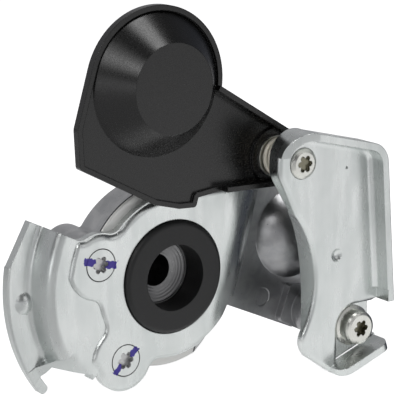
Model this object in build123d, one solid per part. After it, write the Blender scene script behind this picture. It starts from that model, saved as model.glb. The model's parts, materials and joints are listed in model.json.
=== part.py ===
from build123d import *
from math import atan2, cos, degrees, hypot, radians, sin
import os

os.makedirs("parts", exist_ok=True)

# Palm coupling head of a pneumatic line, swing cover open.
# Millimetres, +X right, +Z up, +Y into the head. The origin is on the coupling axis,
# at the front face of the seal ring. A depth is a Y value, and a place is (X, Z).

# Fits and working clearances
RUNNING_FIT = 0.06
SCREW_FIT = 0.05
LOOSE_GAP = 0.35
GROOVE_WIDTH = 1.2

# Seal ring
seal_stand = 1.5
seal_nose_radius = 18.7
seal_bore_radius = 11.0
seal_flange_radius = 21.0
seal_length = 11.0
seal_recess_depth = 9.0
seal_edge_round = 1.6

# Guide plate, pressed from one sheet
plate_thickness = 3.5
plate_radius = 27.4
plate_edge_round = 2.6
pad_step_round = 1.4
notch_radius = 4.5
pad_radius = 28.2
recess_depth = 1.0
screw_upper = (-27.5, 8.4)
screw_lower = (-18.5, -24.9)
upper_lobe_radius = 10.3
lower_lobe_radius = 10.6
upper_rise_radius = 11.8
lower_rise_radius = 12.4

# Claw on the plate's left edge
claw_bend_radius = 45.8
claw_root_radius = 48.4
claw_flange_width = 7.6
claw_depth = 11.0
claw_thickness = 3.2
claw_top_angle = 153.6
claw_web_angle = 207.5
claw_foot_angle = 212.0
claw_tip_angle = 217.8
claw_tip_round = 1.4
claw_taper = ((-47.2, 23.5), (-54.9, 9.7))
pad_foot = ((-46.5, -29.5), (-43.6, -26.0), (-42.6, -24.2), (-37.1, -25.9), (-30.5, -27.6))
pad_foot_angle = 224.0
pad_corner_angle = 222.2
claw_finger_width = 3.2
pip_angle = 183.0
pip_sphere_radius = 5.2
pip_height = 1.5

# Edge rolled back beside the arm
roll_lean = 15.7
roll_start = 17.3
roll_radius = 20.0
roll_sweep = 46.5
roll_edge_round = 0.9
roll_low = -4.5
roll_high = 32.0

# Cast housing
body_radius = 31.0
body_length = 11.5
body_edge_round = 1.0
lug_radius = 8.8
lug_length = 19.0
lug_blend = 2.5
chamber_wall = 3.6
housing_back = 37.0
arm_drop = 5.5
arm_length = 14.0
arm_wall = 3.6
arm_lean = 25.0
arm_axis_offset = 3.2
rib_thickness = 3.0
port_place = (56.3, 4.4)
port_boss_radius = 15.8
dome_height = 9.2
port_thread_radius = 10.2
port_thread_length = 14.0
port_well_radius = 8.5
port_well_length = 6.0
channel_radius = 4.2
channel_chamber_depth = 29.0
ejector_place = (43.3, -16.6)
ejector_radius = 3.2
ejector_mark_depth = 0.3
foot_high = (54.4, -14.8)
foot_low = (50.6, -24.6)
foot_rise = 3.0

# Shut-off valve behind the seal ring
valve_travel = 2.5
sleeve_flange_thickness = 2.2
sleeve_flange_radius = 20.0
sleeve_lip_radius = 11.1
sleeve_lip_length = 1.5
sleeve_lip_thickness = 0.6
funnel_throat_radius = 5.4
stem_radius = 8.0
stem_ports = 4
stem_port_radius = 1.6
seat_ring_length = 8.0
seat_ring_radius = 14.4
seat_guide_length = 3.6
seat_lip_radius = 10.4
o_ring_wire = 1.3
stem_o_ring_wire = 1.0
groove_front = 2.0
stem_groove_front = 1.2
washer_thickness = 1.6
disc_thickness = 2.6
disc_radius = 11.6
disc_hub_radius = 5.0
disc_hub_length = 1.2
chamber_radius = 13.0
valve_spring_length = 7.2
valve_spring_radius = 7.2
valve_spring_wire = 1.1
valve_spring_turns = 3.0

# Hinge of the cover
hinge_place = (37.9, 36.2)
hinge_boss_radius = 11.0
hub_radius = 9.4
hub_front = -3.0
thrust_washer_thickness = 1.0
thrust_washer_radius = 8.8
spring_seat_thickness = 0.8
bush_radius = 4.5
hinge_screw_radius = 3.0
hinge_screw_grip = 14.0
hinge_head_radius = 5.3
hinge_head_height = 1.3
cover_spring_radius = 5.75
cover_spring_wire = 1.6
cover_spring_turns = 4.0

# Side bracket, pressed from one sheet
bracket_thickness = 2.5
bracket_stand = 17.7
rim_height = 6.3
eye_radius = 9.4
eye_depth = 5.6
wall_depth = 8.7
wall_low = (-23.5, 1.0)
wall_high = (20.4, 3.9)
wall_middle_z = -0.5
waist_centre = (8.6, -4.0)
waist_radius = 35.5
bracket_top = 47.3
bracket_top_lean = 14.2
bracket_top_corner = 8.0
flange_x_high = 69.2
flange_x_low = 73.0
flange_high = 32.6
flange_low = -14.6
hook_tip = (72.7, -31.0)
hook_point = (52.0, -38.1)
hook_heel = (40.6, -30.0)
hook_end_rise = 2.6
hook_corner = 4.0
pocket_radius = 10.2
pocket_depth = 3.0
dimple_place = (52.8, 3.1)
dimple_radius = 2.2
dimple_depth = 1.1
tooling_pit_place = (56.4, 32.4)
tooling_pit_radius = 0.45
bend_round = 1.6
inner_bend_round = 2.0

# Swing cover, moulded in one piece
cover_place = (-8.6, 64.7)
cover_rim_radius = 25.0
cover_wall = 1.7
cover_gap = 0.3
cone_base_radius = 23.2
cone_top_radius = 14.4
cone_height = 10.4
cover_lip = 1.0
arm_rail_height = 4.6
skirt_left = (-38.0, 53.6)
skirt_corner = (-37.4, 41.2)
skirt_foot = (-9.6, 26.2)
nose_low = (-0.6, 23.7)
nose_end = (6.0, 23.3)
arm_low_start = (16.0, 27.4)
rail_start = (13.2, 62.6)

# Screws
plate_screw_radius = 3.0
plate_screw_head_radius = 5.4
plate_screw_length = 18.0
bracket_screw_place = (61.9, -23.4)
bracket_screw_radius = 3.0
bracket_screw_flange_radius = 6.9
bracket_screw_flange = 1.3
bracket_screw_head_radius = 5.8
bracket_screw_head = 4.3
bracket_screw_grip = 13.0
lower_boss_radius = 8.0
socket_radius = 2.9
socket_lobe_radius = 0.85
socket_depth = 2.2
plate_socket_depth = 1.8
hinge_socket_depth = 1.1

# Depths that follow from the sizes above
plate_front = seal_stand
plate_back = plate_front + plate_thickness
body_front = plate_back
claw_outer_radius = claw_root_radius + claw_flange_width
finger_inner_radius = claw_outer_radius - claw_finger_width
body_back = body_front + body_length
arm_front = body_front + arm_drop
arm_back = arm_front + arm_length
sleeve_front = seal_length
sleeve_back = sleeve_front + sleeve_flange_thickness
pocket_back = sleeve_back + valve_travel + LOOSE_GAP
seat_back = pocket_back + seat_ring_length
washer_back = seat_back + washer_thickness
disc_back = washer_back + disc_thickness
chamber_back = disc_back + valve_spring_length
bracket_front = -bracket_stand
bracket_back = bracket_front + bracket_thickness
rim_front = bracket_front - rim_height
pocket_floor_front = bracket_front + pocket_depth
pocket_floor_back = pocket_floor_front + bracket_thickness
cover_back = -cover_gap
cover_front = cover_back - cover_wall
hub_back = arm_front - thrust_washer_thickness - LOOSE_GAP
port_back = housing_back
well_front = port_back - port_thread_length - port_well_length


def slab(sketch, front, back):
    """A sketch in (X, Z), pushed through from one depth to another."""
    return extrude(Plane.XZ.offset(-back) * sketch, back - front)


def disc(place, radius, front, back):
    return slab(Pos(*place) * Circle(radius), front, back)


def turned(points, place=(0, 0)):
    """A solid turned about the Y direction from (radius, depth) corners."""
    profile = make_face(Polyline(*points, close=True))
    return Pos(place[0], 0, place[1]) * revolve(profile, Axis.Y)


def polar(radius, angle):
    return (radius * cos(radians(angle)), radius * sin(radians(angle)))


def sector(radius, start, end):
    """A pie slice about the coupling axis."""
    rim = ThreePointArc(polar(radius, start), polar(radius, (start + end) / 2), polar(radius, end))
    return make_face(Polyline(polar(radius, end), (0, 0), polar(radius, start)) + rim)


def soften_notches(sketch, radius):
    """Round the inward corners of an outline: grow it, then bring it back."""
    return offset(offset(sketch, radius), -radius)


def edges_at(part, depth, test=lambda edge: True):
    """Edges that lie wholly at one depth."""
    found = []
    for edge in part.edges():
        box = edge.bounding_box()
        if abs(box.min.Y - depth) < 0.01 and abs(box.max.Y - depth) < 0.01 and test(edge):
            found.append(edge)
    return found


def star_socket(place, front, depth):
    """A six-lobed driver socket, cut from the head's front face."""
    shape = Circle(socket_radius - socket_lobe_radius)
    for i in range(6):
        shape += Pos(*polar(socket_radius - socket_lobe_radius, 60 * i)) * Circle(socket_lobe_radius)
    return slab(Pos(*place) * shape, front - 1, front + depth)


def coil(place, radius, wire, turns, front, back):
    """A round wire spring between two seats along Y."""
    rise = back - front - wire
    path = Helix(rise / turns, rise, radius, center=(0, 0, 0), direction=(0, 1, 0))
    section = Plane(path @ 0, z_dir=path % 0) * Circle(wire / 2)
    spring = sweep(section, path=path, is_frenet=True)
    return Pos(place[0], front + wire / 2, place[1]) * spring


def roll_point(along, out):
    """A place given along the rolled edge and outwards from the coupling axis."""
    lean = radians(roll_lean)
    return (along * sin(lean) + out * cos(lean), along * cos(lean) - out * sin(lean))


def half_plane(out, low, high, reach=60.0):
    """The region beyond a line beside the rolled edge."""
    corners = [roll_point(low, out), roll_point(high, out)]
    corners += [roll_point(high, out + reach), roll_point(low, out + reach)]
    return make_face(Polyline(*corners, close=True))


# Sheets and castings


def guide_plate():
    """Round face with two screw lobes, a recessed pad that bends into the claw, and a rolled edge."""
    upper = Pos(*screw_upper) * Circle(upper_lobe_radius)
    lower = Pos(*screw_lower) * Circle(lower_lobe_radius)
    pad = sector(claw_bend_radius - 2 * claw_thickness, claw_top_angle, pad_foot_angle) - pad_trim()
    lean = radians(roll_lean)
    ear_out = (roll_high * cos(lean) - plate_radius) / sin(lean)
    ear_corners = [(0, 0), (0, plate_radius), roll_point(roll_high, ear_out)]
    ear_corners += [roll_point(roll_high, roll_start + 1), roll_point(roll_low, roll_start + 1)]
    ear = make_face(Polyline(*ear_corners, close=True))
    face = Circle(plate_radius) + upper + lower + pad + ear
    face = soften_notches(face, notch_radius)
    face -= half_plane(roll_start + 1, -plate_radius, roll_high + plate_radius)
    plate = slab(face, plate_front + recess_depth, plate_back)
    rises = Circle(pad_radius) + Pos(*screw_upper) * Circle(upper_rise_radius)
    rises += Pos(*screw_lower) * Circle(lower_rise_radius) + ear
    raised = slab(face & soften_notches(rises, notch_radius), plate_front, plate_back)
    raised = fillet(edges_at(raised, plate_front, lambda edge: not beside_pad(edge)), plate_edge_round)
    raised = fillet(edges_at(raised, plate_front, beside_pad), pad_step_round)
    plate += raised
    plate += rolled_edge()
    plate += claw()
    plate -= disc((0, 0), seal_nose_radius + LOOSE_GAP, plate_front - 1, plate_back + 1)
    plate -= disc((0, 0), seal_flange_radius + LOOSE_GAP, plate_back, seal_length)
    for place in (screw_upper, screw_lower):
        plate -= countersink(place)
    return plate


def beside_pad(edge):
    """True for the edges of the raised face that run along the pad and the claw."""
    middle = edge @ 0.5
    return claw_top_angle < degrees(atan2(middle.Z, middle.X)) % 360 < pad_corner_angle


def pad_trim():
    """The region beyond the pad's lower edge."""
    left, low = pad_foot[0][0] - 15, pad_foot[-1][1] - 25
    return make_face(Polyline(*pad_foot, (pad_foot[-1][0], low), (left, low), (left, pad_foot[0][1]), close=True))


def countersink(place):
    head = plate_screw_head_radius + SCREW_FIT
    shank = plate_screw_radius + SCREW_FIT
    front = plate_front
    corners = [(0, front - 1), (head, front - 1), (head, front)]
    corners += [(shank, front + head - shank), (shank, plate_back + 1), (0, plate_back + 1)]
    return turned(corners, place)


def rolled_edge():
    """Sheet that leaves the face at roll_start and turns back through roll_sweep."""
    inner = roll_radius - plate_thickness
    end = radians(roll_sweep)
    middle = end / 2
    centre = (roll_start, plate_front + roll_radius)

    def on(radius, angle):
        return (centre[0] + radius * sin(angle), centre[1] - radius * cos(angle))

    inboard = roll_start - 1 - plate_edge_round
    outline = Polyline((inboard, plate_back), (inboard, plate_front), (roll_start, plate_front))
    outline += ThreePointArc(on(roll_radius, 0), on(roll_radius, middle), on(roll_radius, end))
    outline += Line(on(roll_radius, end), on(inner, end))
    outline += ThreePointArc(on(inner, end), on(inner, middle), on(inner, 0))
    outline += Line(on(inner, 0), (inboard, plate_back))
    section = make_face(outline)
    section = fillet(near(section, on(roll_radius, end)), roll_edge_round)
    strip = extrude(section, roll_high + plate_radius)
    strip = Rot(0, roll_lean, 0) * Pos(0, 0, -plate_radius) * strip
    rear = plate_front + roll_radius
    corners = [(0, plate_front), (plate_radius, plate_front), (plate_radius, rear), (0, rear)]
    envelope = make_face(Polyline(*corners, close=True))
    envelope = revolve(fillet(near(envelope, corners[1]), plate_edge_round), Axis.Y)
    envelope += slab(half_plane(0, roll_low, roll_high), 0, rear)
    return strip & envelope


def claw():
    """S-shaped section swept about the coupling axis: pad, bend, wall and hooking flange."""
    step = plate_front + recess_depth
    inside = claw_bend_radius - 2 * claw_thickness
    back = claw_depth + claw_thickness
    section = Polyline(
        (inside - 3, step),
        (claw_bend_radius, step),
        (claw_root_radius, claw_depth),
        (claw_outer_radius, claw_depth),
        (claw_outer_radius, back),
        (claw_root_radius - claw_thickness, back),
        (claw_bend_radius - claw_thickness, plate_back),
        (inside - 3, plate_back),
        close=True,
    )
    section = make_face(section)
    section = fillet(near(section, (claw_bend_radius, step)), claw_thickness)
    section = fillet(near(section, (claw_root_radius, claw_depth)), 1.8)
    section = fillet(near(section, (claw_root_radius - claw_thickness, back)), 0.9 * claw_thickness)
    section = fillet(near(section, (claw_outer_radius, claw_depth)), 0.7)
    hook = turn_between(section, claw_top_angle, claw_web_angle)
    web = Polyline(
        (inside - 3, step),
        (claw_bend_radius - claw_thickness, step),
        (finger_inner_radius, claw_depth - 0.3),
        (claw_outer_radius, claw_depth),
        (claw_outer_radius, back),
        (finger_inner_radius - claw_thickness, back),
        (claw_bend_radius - 2 * claw_thickness, plate_back),
        (inside - 3, plate_back),
        close=True,
    )
    web = make_face(web)
    web = fillet(near(web, (claw_bend_radius - claw_thickness, step)), 4.0)
    hook += turn_between(web, claw_web_angle, pad_foot_angle)
    hook -= slab(pad_trim(), 0, back + 1)
    finger = make_face(
        Polyline(
            (finger_inner_radius, claw_depth),
            (claw_outer_radius, claw_depth),
            (claw_outer_radius, back),
            (finger_inner_radius, back),
            close=True,
        )
    )
    finger = turn_between(finger, claw_foot_angle - 4, claw_tip_angle)
    hook += fillet(tip_edges(finger), claw_tip_round)
    start, end = claw_taper
    beyond = make_face(Polyline(start, end, (end[0] - 20, end[1]), (start[0] - 20, start[1] + 20), close=True))
    return pip(hook) - slab(beyond, 0, back + 1)


def tip_edges(finger):
    """The two edges along Y at the far end of the claw's flange."""
    upright = finger.edges().filter_by(Axis.Y)
    return upright.sort_by(Axis.Z)[:2]


def near(sketch, point):
    return sketch.vertices().sort_by_distance(Vector(point[0], point[1], 0))[:1]


def turn_between(profile, start, end):
    """Turn a (radius, depth) profile about the coupling axis between two angles."""
    return Rot(0, -end, 0) * revolve(profile, Axis.Y, end - start)


def pip(hook):
    """Detent pressed through the claw's flange: raised in front, hollow behind."""
    place = polar(claw_root_radius + 1.4, pip_angle)
    sink = pip_sphere_radius - pip_height
    bump = Pos(place[0], claw_depth + sink, place[1]) * Sphere(pip_sphere_radius)
    keep = slab(Circle(claw_outer_radius - 1.5), 0, claw_depth + claw_thickness)
    hollow = Pos(place[0], claw_depth + claw_thickness + sink, place[1]) * Sphere(pip_sphere_radius)
    return hook + (bump & keep) - hollow


def arm_line(distance):
    """A place along the arm's lower edge, which leans down to the lower boss."""
    lean = radians(arm_lean)
    return (
        distance * cos(lean) - arm_axis_offset * sin(lean),
        -distance * sin(lean) - arm_axis_offset * cos(lean),
    )


def arm_outline():
    """Arm from the main body out to the hinge boss, the port boss and the lower boss."""
    bosses = [
        Pos(*hinge_place) * Circle(hinge_boss_radius),
        Pos(*port_place) * Circle(port_boss_radius),
        Pos(*bracket_screw_place) * Circle(lower_boss_radius),
    ]
    hull = make_hull((bosses[0] + bosses[1] + bosses[2]).edges())
    reach = hypot(*bracket_screw_place)
    web = make_face(
        Polyline(
            arm_line(8),
            arm_line(reach - 2.5),
            bracket_screw_place,
            port_place,
            hinge_place,
            (hinge_place[0] - 3.5, hinge_place[1] + hinge_boss_radius - 0.6),
            (0, 0.9 * body_radius),
            close=True,
        )
    )
    return hull + web


def dome(place):
    """Closed front end of the port boss, a cap standing on the arm."""
    ball = (port_boss_radius**2 + dome_height**2) / (2 * dome_height)
    front = arm_front - dome_height
    cap = Pos(place[0], front + ball, place[1]) * Sphere(ball)
    return cap & disc(place, port_boss_radius + 1, front - 1, arm_front + 1)


def housing():
    """Casting: round body, flanged lugs, valve chamber, ribbed arm and three bosses."""
    lugs = Pos(*screw_upper) * Circle(lug_radius) + Pos(*screw_lower) * Circle(lug_radius)
    outline = soften_notches(Circle(body_radius) + lugs, lug_blend)
    body = slab(outline, body_front, body_back) - roll_relief()
    body = fillet(edges_at(body, body_front), body_edge_round)
    body += slab(lugs, body_back, body_front + lug_length)
    outer = chamber_radius + chamber_wall
    neck = [(0, body_back - 1), (outer + 7, body_back - 1), (outer + 7, body_back)]
    neck += [(outer, body_back + 6), (outer, housing_back - 3), (outer - 3, housing_back), (0, housing_back)]
    body += turned(neck)
    body += arm_casting()
    body += port_boss()
    body += screw_bosses()
    body -= valve_bores()
    body -= port_bores()
    return body


def roll_relief():
    """Clearance in the body behind the plate's rolled edge."""
    inner = roll_radius - plate_thickness
    turn = radians(roll_sweep)
    side = roll_start + inner * sin(turn) - LOOSE_GAP
    section = [(roll_start - LOOSE_GAP, body_front), (side, arm_front), (side + body_radius, arm_front)]
    section += [(side + body_radius, body_front - 1), (roll_start - LOOSE_GAP, body_front - 1)]
    cut = extrude(make_face(Polyline(*section, close=True)), 4 * body_radius)
    return Rot(0, roll_lean, 0) * Pos(0, 0, -2 * body_radius) * cut


def arm_casting():
    """Front web of the arm with a rim and ribs behind it."""
    outline = arm_outline()
    web = slab(outline, arm_front, arm_front + arm_wall)
    rim = slab(outline - offset(outline, -arm_wall), arm_front, arm_back)
    ribs = slab(rib_between((0, 0), hinge_place), arm_front, arm_back)
    ribs += slab(rib_between((0, 0), bracket_screw_place), arm_front, arm_back)
    ribs += slab(rib_between(hinge_place, port_place), arm_front, arm_back)
    ribs += slab(rib_between(port_place, bracket_screw_place), arm_front, arm_back)
    arm = web + rim + ribs
    foot = Pos(*bracket_screw_place) * Circle(lower_boss_radius)
    foot += Pos(*foot_high) * Circle(1.5) + Pos(*foot_low) * Circle(1.5)
    arm += slab(make_hull(foot.edges()), arm_front - foot_rise, arm_front + 1)
    mark = disc(ejector_place, ejector_radius, arm_front - 1, arm_front + ejector_mark_depth)
    return arm - mark


def rib_between(start, end):
    """A rib's outline along the line that joins two bosses."""
    run = hypot(end[0] - start[0], end[1] - start[1])
    turn = degrees(atan2(end[1] - start[1], end[0] - start[0]))
    middle = ((start[0] + end[0]) / 2, (start[1] + end[1]) / 2)
    return Pos(*middle) * Rot(0, 0, turn) * Rectangle(run, rib_thickness)


def port_boss():
    boss = disc(port_place, port_boss_radius, arm_front, port_back)
    boss = fillet(edges_at(boss, port_back), 1.0)
    return boss + dome(port_place) + channel(channel_radius + chamber_wall)


def channel(radius):
    """Slanting way from the valve chamber to the port's well."""
    start = Vector(chamber_radius - 6, channel_chamber_depth, 0)
    end = Vector(port_place[0], well_front + channel_radius + 0.6, port_place[1])
    run = end - start
    return Plane(start, z_dir=run) * Cylinder(radius, run.length, align=(Align.CENTER, Align.CENTER, Align.MIN))


def screw_bosses():
    bosses = disc(hinge_place, hinge_boss_radius, arm_front, arm_back)
    tall = disc(bracket_screw_place, lower_boss_radius, pocket_floor_back, arm_back)
    return bosses + fillet(edges_at(tall, pocket_floor_back), 1.0)


def valve_bores():
    """Seal pocket, seat and chamber bores, and the two plate screw holes."""
    pocket = seal_flange_radius + RUNNING_FIT
    seat = seat_ring_radius + RUNNING_FIT
    corners = [(0, body_front - 1), (pocket, body_front - 1), (pocket, pocket_back), (seat, pocket_back)]
    corners += [(seat, seat_back), (chamber_radius, seat_back), (chamber_radius, chamber_back), (0, chamber_back)]
    bores = turned(corners)
    for place in (screw_upper, screw_lower):
        hole = plate_screw_radius + SCREW_FIT
        bores += disc(place, hole, body_front - 1, plate_front + plate_screw_length + 1)
    return bores


def port_bores():
    """Threaded port, its well, the slanting way, and the hinge and bracket screw holes."""
    thread_front = port_back - port_thread_length
    bores = disc(port_place, port_thread_radius, thread_front, port_back + 1)
    bores += disc(port_place, port_well_radius, well_front, thread_front + 1)
    bores += channel(channel_radius)
    hinge_hole = hinge_screw_radius + SCREW_FIT
    bores += disc(hinge_place, hinge_hole, arm_front - 1, arm_front + hinge_screw_grip + 1)
    lower_hole = bracket_screw_radius + SCREW_FIT
    lower_end = pocket_floor_back + bracket_screw_grip + 1
    bores += disc(bracket_screw_place, lower_hole, pocket_floor_back - 1, lower_end)
    return bores


def bracket_outline():
    """Outer line of the pressed bracket, from the hinge eye round to the hook."""
    lean = radians(bracket_top_lean)
    flange_slope = (flange_x_low - flange_x_high) / (flange_high - flange_low)
    corner_x = flange_x_high - 6 * flange_slope
    corner_z = bracket_top - (corner_x - hinge_place[0]) * sin(lean) / cos(lean)
    left = hinge_place[0] - eye_radius
    top_left_z = bracket_top + (hinge_place[0] - left) * sin(lean) / cos(lean)
    waist_low = waist_point(-36)
    waist_high = waist_point(40)
    floor_x = flange_x_low - bracket_thickness - 1.5
    corners = [
        hook_heel,
        hook_point,
        hook_tip,
        (hook_tip[0], hook_tip[1] + hook_end_rise),
        (floor_x, hook_tip[1] + hook_end_rise),
        (floor_x, flange_low),
        (flange_x_low, flange_low),
        (corner_x, corner_z),
        (left, top_left_z),
        (left, hinge_place[1] - 3),
        waist_high,
    ]
    line = Polyline(*corners)
    line += ThreePointArc(waist_high, waist_point(2), waist_low)
    line += Line(waist_low, hook_heel)
    face = make_face(line)
    rounds = {
        corners[0]: 2.6,
        corners[1]: 3.0,
        corners[4]: 1.4,
        corners[5]: 1.6,
        corners[7]: bracket_top_corner,
        corners[8]: eye_radius,
        corners[9]: 7.0,
        waist_high: 6.0,
        waist_low: 6.0,
    }
    for corner, radius in rounds.items():
        face = fillet(near(face, corner), radius)
    return face


def waist_point(angle):
    """A place on the arc that keeps clear of the mating head."""
    out = polar(waist_radius, angle)
    return (waist_centre[0] + out[0], waist_centre[1] + out[1])


def box_region(low, high):
    return Pos((low[0] + high[0]) / 2, (low[1] + high[1]) / 2) * Rectangle(high[0] - low[0], high[1] - low[1])


def side_bracket():
    """Floor with a wall turned back on the left and rims turned forward at the top, right and foot."""
    outline = bracket_outline()
    band = outline - offset(outline, -bracket_thickness)
    bracket = slab(outline, bracket_front, bracket_back)
    left, middle, right = hinge_place[0] - eye_radius, dimple_place[0], 1.2 * flange_x_low
    high, eye_low = 1.2 * bracket_top, hinge_place[1] - 0.65 * eye_radius
    waist_zone = box_region((0, hook_heel[1] + eye_depth), (middle, eye_low))
    eye_zone = box_region((0, eye_low - 1), (hinge_place[0] + 0.2 * eye_radius, high))
    rim_zone = box_region((left, hinge_place[1] + 0.3 * eye_radius), (right, high))
    rim_zone += box_region((middle, flange_low - 1), (right, high))
    rim_zone -= box_region((middle, flange_low - 1), (flange_x_low - bracket_thickness, flange_low + 4))
    hook = strip_below(hook_point, hook_tip, -1, bracket_thickness)
    bracket += slab(band & waist_zone, bracket_front, bracket_front + wall_depth)
    bracket += slab(band & eye_zone, bracket_front, bracket_front + eye_depth)
    bracket = fillet(outer_bends(bracket), bend_round)
    bracket -= behind_waist()
    bracket += slab(band & rim_zone, rim_front, bracket_back) - rim_slope()
    flange = slab(hook, rim_front, bracket_back)
    bracket += fillet(flange.edges().filter_by(GeomType.LINE).filter_by(across_sheet), hook_corner)
    pocket = Pos(*bracket_screw_place) * Circle(pocket_radius)
    below = 1.5 * hook_point[1]
    pocket += box_region((bracket_screw_place[0] - pocket_radius, below), (right, bracket_screw_place[1]))
    pocket += box_region((bracket_screw_place[0], below), (right, bracket_screw_place[1] + pocket_radius))
    cup = (outline - hook) & pocket
    bracket += slab(cup, bracket_back - 0.5, pocket_floor_back)
    hollow = offset(pocket, -bracket_thickness) & (outline - hook)
    bracket -= slab(hollow, bracket_front - 1, pocket_floor_front)
    bracket = fillet(inner_bends(bracket), inner_bend_round)
    bracket = with_dimple(bracket)
    bracket -= disc(tooling_pit_place, tooling_pit_radius, bracket_front - 1, bracket_front + 0.6)
    bracket -= disc(hinge_place, hinge_screw_radius + SCREW_FIT, bracket_front - 1, bracket_back + 1)
    bracket -= disc(
        bracket_screw_place, bracket_screw_radius + SCREW_FIT, pocket_floor_front - 1, pocket_floor_back + 1
    )
    return bracket


def rim_slope():
    """Wedge that lets the top rim rise gradually from the hinge eye."""
    start = hinge_place[0] - eye_radius - 1
    wedge = [(start, bracket_front), (start, rim_front - 1), (hinge_place[0] + 2, rim_front - 1)]
    wedge += [(hinge_place[0] + 2, rim_front), (hinge_place[0] - 4, rim_front + 2.2)]
    return Pos(0, 0, hinge_place[1]) * extrude(make_face(Polyline(*wedge, close=True)), 2 * bracket_top)


def across_sheet(edge):
    """True for the two front edges that run through the hook's thickness."""
    box = edge.bounding_box()
    return abs(edge.length - bracket_thickness) < 0.01 and abs(box.max.Y - rim_front) < 0.01


def behind_waist():
    """What lies behind the bowed rear line of the wall along the waist."""
    rear = bracket_front + wall_depth + 1
    low = (bracket_front + wall_low[1], wall_low[0])
    high = (bracket_front + wall_high[1], wall_high[0])
    eye = (bracket_front + eye_depth, hinge_place[1] - 0.65 * eye_radius)
    line = Polyline(high, eye, (rear, eye[1]), (rear, low[1] - 4), (low[0], low[1] - 4), low)
    line += ThreePointArc(low, (bracket_front + wall_depth, wall_middle_z), high)
    reach = (flange_x_low, bracket_top)
    return extrude(Plane.YZ * make_face(line), reach[0]) & slab(box_region((0, -reach[1]), reach), bracket_back, rear)


def outer_bends(bracket):
    """Front edges of the floor along the wall that turns back."""
    return edges_at(bracket, bracket_front, on_left)


def inner_bends(bracket):
    """Front edges where the rims rise from the floor and where the screw's pocket sinks into it."""
    return edges_at(bracket, bracket_front, lambda edge: edge.length > 6 and not on_left(edge) and above_hook(edge))


def above_hook(edge):
    """True for an edge that lies above the run from the hook's heel to its point."""
    return (edge @ 0.5).Z > hook_heel[1] + 1


def on_left(edge):
    """True for the edges of the waist, the eye's left side and the run between them."""
    middle = edge @ 0.5
    if middle.Z < hook_heel[1] + 6:
        return False
    from_waist = hypot(middle.X - waist_centre[0], middle.Z - waist_centre[1])
    from_hinge = hypot(middle.X - hinge_place[0], middle.Z - hinge_place[1])
    return from_waist < waist_radius + 1.0 or (from_hinge < eye_radius + 6 and middle.X < hinge_place[0] - 4)


def with_dimple(bracket):
    """Detent pressed into the floor: a cone in front, a bump behind."""
    x, z = dimple_place
    bump = [(0, bracket_back - 0.5), (dimple_radius + bracket_thickness, bracket_back - 0.5)]
    bump += [(dimple_radius + 0.6, bracket_back + dimple_depth), (0, bracket_back + dimple_depth)]
    ball = (dimple_radius**2 + dimple_depth**2) / (2 * dimple_depth)
    pit = Pos(x, bracket_front + dimple_depth - ball, z) * Sphere(ball)
    return bracket + turned(bump, (x, z)) - pit


def cover_outline():
    """Rim round the dome, the skirt at its lower left, the nose and the arm to the hub."""
    rim = Pos(*cover_place) * Circle(cover_rim_radius)
    to_left = tangent_from(skirt_left, cover_place, cover_rim_radius, -1)
    skirt = Polyline(
        cover_place,
        to_left,
        skirt_left,
        skirt_corner,
        skirt_foot,
        nose_low,
        nose_end,
        (nose_end[0] + 1, arm_low_start[1] - 1),
        arm_low_start,
        tangent_from(arm_low_start, hinge_place, hub_radius, 1),
        hinge_place,
        tangent_from(rail_start, hinge_place, hub_radius, -1),
        rail_start,
        close=True,
    )
    hub = Pos(*hinge_place) * Circle(hub_radius)
    face = rim + make_face(skirt) + hub
    for corner, radius in ((skirt_left, 4.0), (skirt_corner, 1.5), (nose_end, 1.2), (arm_low_start, 6.0)):
        face = fillet(near(face, corner), radius)
    return face


def tangent_from(point, centre, radius, side):
    """Where a line from a point touches a circle, on the side asked for."""
    dx, dz = point[0] - centre[0], point[1] - centre[1]
    reach = hypot(dx, dz)
    turn = degrees(atan2(dz, dx)) + side * degrees(atan2((reach**2 - radius**2) ** 0.5, radius))
    out = polar(radius, turn)
    return (centre[0] + out[0], centre[1] + out[1])


def rails():
    """Walls along the arm's two edges, joined by a wall round the hub."""
    high = tangent_from(rail_start, hinge_place, hub_radius, -1)
    low = tangent_from(arm_low_start, hinge_place, hub_radius, 1)
    ring_wall = Pos(*hinge_place) * (Circle(hub_radius) - Circle(hub_radius - cover_wall))
    beyond = make_face(Polyline(hinge_place, high, (high[0] + 20, high[1]), (high[0] + 20, low[1] - 1), low, close=True))
    walls = strip_below(rail_start, high, 1, cover_wall) + strip_below(arm_low_start, low, -1, cover_wall)
    return walls + (ring_wall & beyond)


def strip_below(start, end, side, wall):
    """A wall's footprint along a line: below it for side 1, above it for side -1."""
    run = hypot(end[0] - start[0], end[1] - start[1])
    across = (side * wall * (end[1] - start[1]) / run, -side * wall * (end[0] - start[0]) / run)
    inner_start = (start[0] + across[0], start[1] + across[1])
    inner_end = (end[0] + across[0], end[1] + across[1])
    return make_face(Polyline(start, end, inner_end, inner_start, close=True))


def cover():
    """Thin moulding: rim plate, hollow dome, edge lip, arm rails and hub."""
    outline = cover_outline()
    band = outline - offset(outline, -cover_wall)
    shell = slab(outline, cover_front, cover_back)
    shell += slab(band, cover_front - cover_lip, cover_back)
    shell += slab(rails(), cover_front - arm_rail_height, cover_back)
    top = cover_front - cone_height
    slope = (cone_base_radius - cone_top_radius) / cone_height
    outer = [(0, top), (cone_top_radius, top), (cone_base_radius, cover_front), (cone_base_radius, cover_back)]
    shell += turned(outer + [(0, cover_back)], cover_place)
    inner_top = top + cover_wall
    inner = [(0, inner_top), (cone_top_radius - cover_wall + 0.8, inner_top)]
    inner += [(cone_base_radius - cover_wall, cover_front + 0.6), (cone_base_radius - cover_wall, cover_back + 1)]
    shell -= turned(inner + [(0, cover_back + 1)], cover_place)
    shell += disc(hinge_place, hub_radius, hub_front, hub_back)
    shell -= disc(hinge_place, bush_radius + RUNNING_FIT, hub_front - 1, hub_back + 1)
    return shell


# Turned and moulded small pieces


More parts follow.
